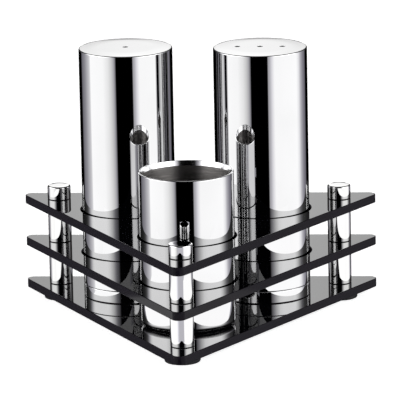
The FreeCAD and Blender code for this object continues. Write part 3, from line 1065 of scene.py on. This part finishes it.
@dataclass
class Shaker:
    """A drawn shell with pour holes over a base cap of dish, plug and ring seal."""

    finishes: Finishes
    filling: Filling
    wall: float = 0.8 * MM
    top_round: float = 0.4 * MM
    top_roll: float = 0.95 * MM
    crown_drop: float = 0.11 * MM
    crown_reach: float = 11.3 * MM
    crown_round: float = 118.0 * MM
    flat_reach: float = 9.0 * MM
    seam_round: float = 0.18 * MM
    seam_gap: float = 0.1 * MM
    inside_round: float = 0.4 * MM
    hole_radius: float = 0.93 * MM
    hole_pitch: float = 7.65 * MM
    hole_round: float = 0.06 * MM
    hole_turn: float = FULL_TURN / HOLE_ROUND / 3
    base_round: float = 0.4 * MM
    plug_wall: float = 1.3 * MM
    plug_deck: float = 1.6 * MM
    plug_lead: float = 0.5 * MM
    plug_edge_round: float = 0.1 * MM
    groove_play: float = 0.2 * MM

    @property
    def cap_body(self) -> str:
        """Body of the base cap."""
        return f"{self.filling.prefix}_cap"

    @property
    def shell_body(self) -> str:
        """Body of the shell."""
        return f"{self.filling.prefix}_shaker"

    def build(self) -> None:
        """Makes the base cap from the dish up, then the shell."""
        self._dish()
        self._plug()
        self._seal()
        self._shell()

    def _shell(self) -> None:
        """The shell: inner and outer wall in one profile, both faces of the top with their holes.

        Each hole in a row starts a little further round than the last, because triangles between
        points in one straight line have no area and no side that faces out.
        """
        node = f"{self.filling.prefix}_shell"
        place = Turned.of(node)
        bore = place.radius - self.wall
        under_top = place.high - self.wall
        made = Surface()
        foot = place.low + self.seam_gap
        walls = Profile.rounded(
            [
                (bore - 2 * self.inside_round, under_top),
                (bore, under_top, self.inside_round),
                (bore, foot, self.seam_round),
                (place.radius, foot, self.seam_round),
                *buffed_corner(place.radius, place.high - self.crown_drop, self.top_round, self.top_roll),
                (self.crown_reach, place.high, self.crown_round),
                (self.flat_reach, place.high),
            ]
        )
        inside = np.arange(len(walls.points) - 1) < np.argmin(walls.points[:, 1])
        on_top = walls.normals[1:, 1] > LEVEL_SHARE
        finish = np.where(inside, 1, np.where(on_top, 2, 0))
        inner, outer = made.sweep(Path.circle(place.axis, FINE_ROUND), walls, finish)
        reach = self.hole_radius + 2 * self.hole_round
        upper_holes = []
        lower_holes = []
        for step in self.filling.hole_steps:
            axis = (place.x + step * self.hole_pitch, place.y)
            hole = Profile.rounded(
                [
                    (reach, place.high),
                    (self.hole_radius, place.high, self.hole_round),
                    (self.hole_radius, under_top, self.hole_round),
                    (reach, under_top),
                ]
            )
            round_hole = Path.circle(axis, HOLE_ROUND, step * self.hole_turn)
            upper, lower = made.sweep(round_hole, hole)
            upper_holes.append(upper)
            lower_holes.append(lower)
        made.close_with_holes(outer, upper_holes, UP, 2)
        made.close_with_holes(inner, lower_holes, DOWN, 1)
        # The top faces take the darker-tinted copy of the steel, which paints shade on them.
        dress = [self.finishes.shaker, self.finishes.shell_inside, self.finishes.shaker_top]
        piece = made.make(f"{node}_drawn", dress)
        set_up(piece, self.shell_body, node)

    def _dish(self) -> None:
        """The base dish: floor and rim in one profile from the inside floor to the underside."""
        node = f"{self.filling.prefix}_base_dish"
        place = Turned.of(node)
        bore = place.radius - self.wall
        floor = place.low + self.wall
        made = Surface()
        walls = Profile.rounded(
            [
                (bore - 2 * self.inside_round, place.low),
                (place.radius, place.low, self.base_round),
                (place.radius, place.high, self.seam_round),
                (bore, place.high, self.seam_round),
                (bore, floor, self.seam_round),
                (bore - 2 * self.inside_round, floor),
            ]
        )
        under, inside = made.sweep(Path.circle(place.axis, FINE_ROUND), walls)
        made.close_to_axis(under, place.axis, DOWN)
        made.close_to_axis(inside, place.axis, UP)
        set_up(made.make(f"{node}_pressed", [self.finishes.shaker]), self.cap_body, node)

    def _plug(self) -> None:
        """The plug: shoulder, neck with the seal's groove, deck and the hollow below it."""
        node = f"{self.filling.prefix}_plug"
        place = Turned.of(node)
        seal = Turned.of(f"{self.filling.prefix}_seal")
        seal_middle = (seal.low + seal.high) / 2
        half_groove = (seal.high - seal.low) / 2 + self.groove_play
        dish_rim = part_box(f"{self.filling.prefix}_base_dish")[1].z
        shell = Turned.of(f"{self.filling.prefix}_shell")
        neck = shell.radius - self.wall - 0.3 * MM
        groove = seal.radius - (seal.high - seal.low)
        hollow = groove - self.plug_wall
        edge = self.plug_edge_round
        made = Surface()
        walls = Profile.rounded(
            [
                (hollow - 2 * self.plug_lead, place.high - self.plug_deck),
                (hollow, place.high - self.plug_deck, self.plug_lead),
                (hollow, place.low, edge),
                (place.radius, place.low, edge),
                (place.radius, dish_rim, edge),
                (neck, dish_rim, edge),
                (neck, seal_middle - half_groove, edge),
                (groove, seal_middle - half_groove, edge),
                (groove, seal_middle + half_groove, edge),
                (neck, seal_middle + half_groove, edge),
                (neck, place.high, self.plug_lead),
                (neck - 2 * self.plug_lead, place.high),
            ]
        )
        below, above = made.sweep(Path.circle(place.axis, FINE_ROUND), walls)
        made.close_to_axis(below, place.axis, DOWN)
        made.close_to_axis(above, place.axis, UP)
        set_up(made.make(f"{node}_moulded", [self.finishes.plug]), self.cap_body, node)

    def _seal(self) -> None:
        """The ring seal: a circle carried round the axis."""
        node = f"{self.filling.prefix}_seal"
        place = Turned.of(node)
        half = (place.high - place.low) / 2
        angle = np.arange(HOLE_ROUND) * FULL_TURN / HOLE_ROUND
        normals = np.stack([np.cos(angle), np.sin(angle)], axis=1)
        middle = np.array([place.radius - half, (place.high + place.low) / 2])
        made = Surface()
        made.sweep(Path.circle(place.axis, FINE_ROUND), Profile(middle + half * normals, normals, True))
        set_up(made.make(f"{node}_ring", [self.finishes.seal]), self.cap_body, node)


@dataclass
class Cup:
    """The short open cup: mirror outside, a mirror band inside the lip and spun steel below it, darkened by a painted
    shade.
    """

    finishes: Finishes
    wall: float = 0.8 * MM
    base_round: float = 2.0 * MM
    inside_base_round: float = 1.2 * MM
    lip_round: float = 0.35 * MM
    band_height: float = 1.75 * MM
    band_flare: float = 0.3 * MM
    band_step: float = 0.1 * MM
    inner_lip_round: float = 0.12 * MM
    step_round: float = 0.04 * MM
    node: str = "toothpick_cup"
    body: str = "cup"

    def build(self) -> None:
        """One profile from the underside, up the outside, over the lip and down the inside."""
        place = Turned.of(self.node)
        bore = place.radius - self.wall
        floor = place.low + self.wall
        band_foot = place.high - self.band_height
        made = Surface()
        walls = Profile.rounded(
            [
                (bore - 2 * self.inside_base_round, place.low),
                (place.radius, place.low, self.base_round),
                (place.radius, place.high, self.lip_round),
                (bore + self.band_flare, place.high, self.inner_lip_round),
                (bore - self.band_step, band_foot, self.step_round),
                (bore, band_foot - self.band_step, self.step_round),
                (bore, floor, self.inside_base_round),
                (bore - 2 * self.inside_base_round, floor),
            ],
            steps=2 * ARC_STEPS,
        )
        middles = (walls.points[1:] + walls.points[:-1]) / 2
        after_lip = np.arange(len(middles)) > np.argmax(middles[:, 1])
        within = after_lip & (middles[:, 0] < bore + self.band_flare)
        finish = np.where(within & (middles[:, 1] < band_foot), 1, np.where(within, 2, 0))
        under, inside = made.sweep(Path.circle(place.axis, FINE_ROUND), walls, finish)
        made.close_to_axis(under, place.axis, DOWN)
        made.close_to_axis(inside, place.axis, UP, 1)
        dress = [self.finishes.cup, self.finishes.cup_inside, self.finishes.cup_band]
        piece = made.make(f"{self.node}_drawn", dress)
        set_up(piece, self.body, self.node)


@dataclass(frozen=True)
class Card:
    """One stop of the surroundings: a bearing in degrees and the brightness seen there."""

    bearing: float
    level: float
    violet: float = 0.0

    @property
    def stop(self) -> tuple[float, tuple[float, float, float]]:
        """Place between 0 and 1 and colour, as a ramp wants them."""
        place = self.bearing / FULL_DEGREES + HALF
        return place, (self.level, self.level * (1 - self.violet / 4), self.level * (1 + self.violet))


@dataclass
class Studio:
    """White walls and dark cards round the set, a pale floor and a pale backdrop."""

    facing: float
    fall: float
    table_light: float = 1.52
    wall_light: float = 3.8
    backdrop_light: float = 1.42
    backdrop_edge_light: float = 1.2
    backdrop_fall: float = 0.2
    far_table_light: float = 0.5
    zenith_light: float = 0.35
    sheet_reach: float = 220.0 * MM
    sheet_back: float = 70.0 * MM
    sheet_half_angle: float = math.radians(55.0)
    sheet_margin: float = 13.5 * MM
    sheet_run: float = 125.0 * MM
    sheet_depth: float = 0.5 * MM
    card_light: float = 0.76
    card_left: float = math.radians(27.0)
    wide_card_left: float = math.radians(40.0)
    card_right: float = math.radians(19.0)
    card_short: float = 0.35 * MM
    floor_reach: float = 6.0
    floor_tint: tuple[float, float, float] = (0.92, 0.92, 0.92)
    floor_glow: float = 0.78
    low_cards: tuple[Card, ...] = (
        Card(-176.0, 0.0),
        Card(-139.0, 0.0),
        Card(-136.0, 0.13, 0.12),
        Card(-120.0, 0.26, 0.08),
        Card(-106.0, 0.50, 0.04),
        Card(-100.0, 0.66, 0.02),
        Card(-97.0, 1.0),
        Card(-58.0, 0.96),
        Card(-44.0, 0.80),
        Card(-36.0, 0.62),
        Card(-30.0, 0.42, 0.04),
        Card(-26.0, 0.20, 0.08),
        Card(-24.0, 0.0),
        Card(16.8, 0.0),
        Card(18.0, 0.36, 0.04),
        Card(21.6, 0.42, 0.06),
        Card(27.0, 0.70, 0.04),
        Card(34.0, 0.96),
        Card(98.0, 1.0),
        Card(107.0, 0.80, 0.02),
        Card(115.0, 0.44, 0.06),
        Card(126.0, 0.22, 0.12),
        Card(138.0, 0.12, 0.15),
        Card(141.0, 0.0),
        Card(176.0, 0.0),
    )
    high_cards: tuple[Card, ...] = (
        Card(-176.0, 0.0),
        Card(-132.0, 0.02),
        Card(-122.0, 0.06),
        Card(-116.0, 0.20, 0.06),
        Card(-110.0, 0.50, 0.04),
        Card(-104.0, 0.85),
        Card(-98.0, 1.0),
        Card(-58.0, 1.0),
        Card(-51.0, 0.88),
        Card(-46.0, 0.70),
        Card(-41.0, 0.50),
        Card(-37.0, 0.30, 0.04),
        Card(-33.0, 0.15, 0.06),
        Card(-28.0, 0.08, 0.08),
        Card(-24.0, 0.0),
        Card(16.8, 0.0),
        Card(18.8, 0.10, 0.06),
        Card(25.0, 0.30, 0.04),
        Card(32.0, 0.60),
        Card(40.0, 0.90),
        Card(50.0, 1.0),
        Card(84.0, 1.0),
        Card(92.0, 0.75),
        Card(100.0, 0.40),
        Card(108.0, 0.15, 0.06),
        Card(118.0, 0.05),
        Card(140.0, 0.02),
        Card(176.0, 0.0),
    )

    def build(self) -> None:
        """Makes the world's light, the floor and the backdrop."""
        self._surroundings()
        self._floor()
        self._backdrop()
        self._table_sheet()
        self._post_cards()

    def _surroundings(self) -> None:
        """Light by direction: bearing from the camera's side, in degrees, and rise, a sine.

        Bearings are the angle round the set from the side that faces the camera, positive to the
        right. The cards give the pattern by bearing. It is dimmer below the horizon, where the
        table is, than above it, where the walls are. A dark ceiling with a dim lamp straight
        overhead closes it, and behind stands the backdrop, over the dark line of the table's far edge.
        """
        world = bpy.context.scene.world or bpy.data.worlds.new("surroundings")
        bpy.context.scene.world = world
        world.use_nodes = True
        graph = Graph(world.node_tree)
        direction = graph.add("ShaderNodeTexCoord", output="Generated")
        turned = graph.add(
            "ShaderNodeVectorRotate",
            {"rotation_type": "Z_AXIS"},
            {"Vector": direction, "Angle": self.facing},
        )
        right = graph.add("ShaderNodeSeparateXYZ", inputs={0: turned}, output=0)
        away = graph.add("ShaderNodeSeparateXYZ", inputs={0: turned}, output=1)
        rise = graph.add("ShaderNodeSeparateXYZ", inputs={0: turned}, output=2)
        turn = graph.add("ShaderNodeMath", {"operation": "ARCTAN2"}, {0: right, 1: 0.0 - away}) / FULL_TURN
        low = graph.add("ShaderNodeValToRGB", {"stops": [card.stop for card in self.low_cards]}, {0: turn + HALF})
        high = graph.add("ShaderNodeValToRGB", {"stops": [card.stop for card in self.high_cards]}, {0: turn + HALF})
        over_table = rise.above(-0.05, 0.12)
        pattern = graph.blend(over_table, low, high)
        level = self.table_light + (self.wall_light - self.table_light) * over_table
        behind = abs(turn).above(0.4875, 0.4895)
        aside = abs(turn).below(0.4925, 0.4990)
        backdrop = self.backdrop_light + (self.backdrop_edge_light - self.backdrop_light) * aside
        horizon = abs(turn).above(0.40, 0.45) * rise.above(-0.19, -0.16) * rise.below(0.12, 0.16)
        ceiling = rise.above(0.50, 0.60)
        white = colour(1.0, 1.0, 1.0)
        zenith = rise.above(0.93, 0.99)
        light = graph.blend(zenith, graph.blend(behind, pattern, white), white)
        backdrop = backdrop * (1.0 - self.backdrop_fall * rise.below(0.15, 0.24) + 0.14 * rise.above(0.24, 0.29))
        backdrop = self.far_table_light + over_table * (backdrop - self.far_table_light)
        level = level + behind * (backdrop - level)
        strength = level * (1.0 - horizon) * (1.0 - ceiling) + self.zenith_light * zenith
        glow = graph.add("ShaderNodeBackground", inputs={"Color": light, "Strength": strength})
        graph.add("ShaderNodeOutputWorld", inputs={"Surface": glow})

    def _floor(self) -> None:
        """A pale disc under the set, which the mirrors leave out."""
        made = Surface()
        reach = self.floor_reach
        flat = Profile(np.array([[reach * 0.5, 0.0], [reach, 0.0]]), np.array([[0.0, 1.0], [0.0, 1.0]]), False)
        made.sweep(Path.circle((0.0, 0.0), SMALL_ROUND), Profile(flat.points[::-1], flat.normals, False))
        inner = np.arange(SMALL_ROUND, 2 * SMALL_ROUND)
        made.close_to_axis(inner, (0.0, 0.0), UP)
        material = new_material(
            "pale_floor",
            lambda graph: {
                "Base Color": colour(*self.floor_tint),
                "Roughness": 0.9,
                "Emission Color": colour(1.0, 1.0, 1.0),
                "Emission Strength": self.floor_glow,
            },
        )
        floor = made.make("floor", [material])
        floor.visible_glossy = False

    def _backdrop(self) -> None:
        """A plain bright wall round the floor that only the camera sees."""
        reach = self.floor_reach * 0.98
        inward = np.array([[-1.0, 0.0], [-1.0, 0.0]])
        wall = Profile(np.array([[reach, reach], [reach, -MM]]), inward, False)
        made = Surface()
        made.sweep(Path.circle((0.0, 0.0), SMALL_ROUND), wall)
        material = new_material(
            "pale_backdrop",
            lambda graph: {
                "Base Color": colour(0.0, 0.0, 0.0),
                "Roughness": 1.0,
                "Emission Color": colour(1.0, 1.0, 1.0),
                "Emission Strength": 1.0,
            },
        )
        backdrop = made.make("backdrop", [material])
        show_only_to(backdrop, "camera")

    def _table_sheet(self) -> None:
        """A fan of white paper on the table in front of the set, which only mirrors see.

        It spreads evenly to both sides of the camera's way from a point behind the set. On the
        side of the set it ends in two lines that run along the base plate's front edges, at the
        margin outside them.
        """
        middle = -QUARTER_TURN - self.facing
        angle = middle + np.linspace(-self.sheet_half_angle, self.sheet_half_angle, SMALL_ROUND)
        rim = self.sheet_reach * np.stack([np.cos(angle), np.sin(angle)], axis=1)
        rim[:, 1] += self.sheet_back
        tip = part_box(Tier.BASE.value)[0].y - 2 * self.sheet_margin
        run = self.sheet_run * np.array([math.sin(SIXTH_TURN / 2), math.cos(SIXTH_TURN / 2)])
        inner = np.array([[run[0], tip + run[1]], [0.0, tip], [-run[0], tip + run[1]]])
        made = Surface()
        made.add_flat(np.vstack([rim, inner]), -self.sheet_depth)
        sheet = made.make("table_sheet", [glowing("table_sheet", colour(1.0, 1.0, 1.0), self.table_light)])
        show_only_to(sheet, "glossy")

    def _post_cards(self) -> None:
        """White cards before the front post, which only its own chrome can see.

        A ray that falls as steeply as the camera looks down drops fall * distance on its way to
        a card. The plate's tip hides the top of each tube behind it, by fall * reach of the tip.
        The card spans the heights that rays from the visible chrome reach, and it stands so far
        off that all rays by way of a plate, which rise again, pass over or under it.
        """
        pale = colour(0.93, 0.92, 1.0)
        knob_card = glowing("knob_card", pale, self.card_light)
        ahead = np.array([-math.sin(self.facing), -math.cos(self.facing)])
        right = np.array([math.cos(self.facing), -math.sin(self.facing)])
        for node in ("front_knob", "front_upper_spacer", "front_lower_spacer"):
            place = Turned.of(node)
            hidden = self.fall * (place.y - place.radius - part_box(Tier.TOP.value)[0].y)
            top = place.high if node == "front_knob" else place.high - hidden
            distance = (top - place.low + hidden) / (2 * self.fall)
            left = self.card_left if node == "front_knob" else self.wide_card_left
            angle = np.linspace(-left, self.card_right, HOLE_ROUND)
            spread = np.cos(angle)[:, None] * ahead + np.sin(angle)[:, None] * right
            line = np.array(place.axis) + (place.radius + distance) * spread
            drop = distance * self.fall
            low = np.full(HOLE_ROUND, place.low - drop + hidden / 2)
            made = Surface()
            made.add_wall(line, low, top - drop - self.card_short, np.array(place.axis))
            reach = (place.radius + distance) * math.sin(left)
            wide_card = glowing(f"{node}_card", pale, self.card_light, 0.7, reach)
            card = made.make(f"{node}_card", [knob_card if node == "front_knob" else wide_card])
            show_only_to(card, "glossy")


@dataclass
class Viewpoint:
    """The camera, placed as the photograph's was: far off, a little above and to the right."""

    azimuth: float = math.radians(-4.341)
    elevation: float = math.radians(13.416)
    roll: float = math.radians(-1.124)
    distance: float = 1.6
    lens: float = 423.76
    sensor: float = 36.0
    aside: float = 2.521 * MM
    height: float = 41.2 * MM
    centroid_back: float = 16.85 * MM
    nearest: float = 0.1
    farthest: float = 30.0

    def build(self) -> None:
        """Makes the camera: it looks along d from the point that lies distance before its target.

        d is the level direction at the azimuth, tipped down by the elevation. The roll turns the
        camera's right and up directions about d.
        """
        sin_a, cos_a = math.sin(self.azimuth), math.cos(self.azimuth)
        sin_e, cos_e = math.sin(self.elevation), math.cos(self.elevation)
        ahead = Vector((sin_a * cos_e, cos_a * cos_e, -sin_e))
        level = Vector((cos_a, -sin_a, 0.0))
        over = level.cross(ahead)
        right = level * math.cos(self.roll) + over * math.sin(self.roll)
        up = over * math.cos(self.roll) - level * math.sin(self.roll)
        target = Vector((self.aside * cos_a, self.centroid_back - self.aside * sin_a, self.height))
        place = target - ahead * self.distance
        data = bpy.data.cameras.new("viewpoint")
        data.lens = self.lens
        data.sensor_width = self.sensor
        data.clip_start = self.nearest
        data.clip_end = self.farthest
        camera = bpy.data.objects.new("viewpoint", data)
        bpy.context.scene.collection.objects.link(camera)
        turned = Matrix((right, up, -ahead)).transposed()
        camera.matrix_world = Matrix.Translation(place) @ turned.to_4x4()
        bpy.context.scene.camera = camera
        LOG.info("camera at %s", tuple(round(part, 4) for part in place))


def main() -> None:
    """Dresses the rack, the shakers and the cup, then sets the studio and the camera."""
    logging.basicConfig(level=logging.INFO, format="%(name)s: %(message)s")
    finishes = Finishes()
    Rack(finishes).build()
    for filling in Filling:
        Shaker(finishes, filling).build()
    Cup(finishes).build()
    viewpoint = Viewpoint()
    viewpoint.build()
    Studio(facing=viewpoint.azimuth, fall=math.tan(viewpoint.elevation)).build()
    bpy.context.scene.view_settings.view_transform = "Standard"


if __name__ == "__main__":
    main()
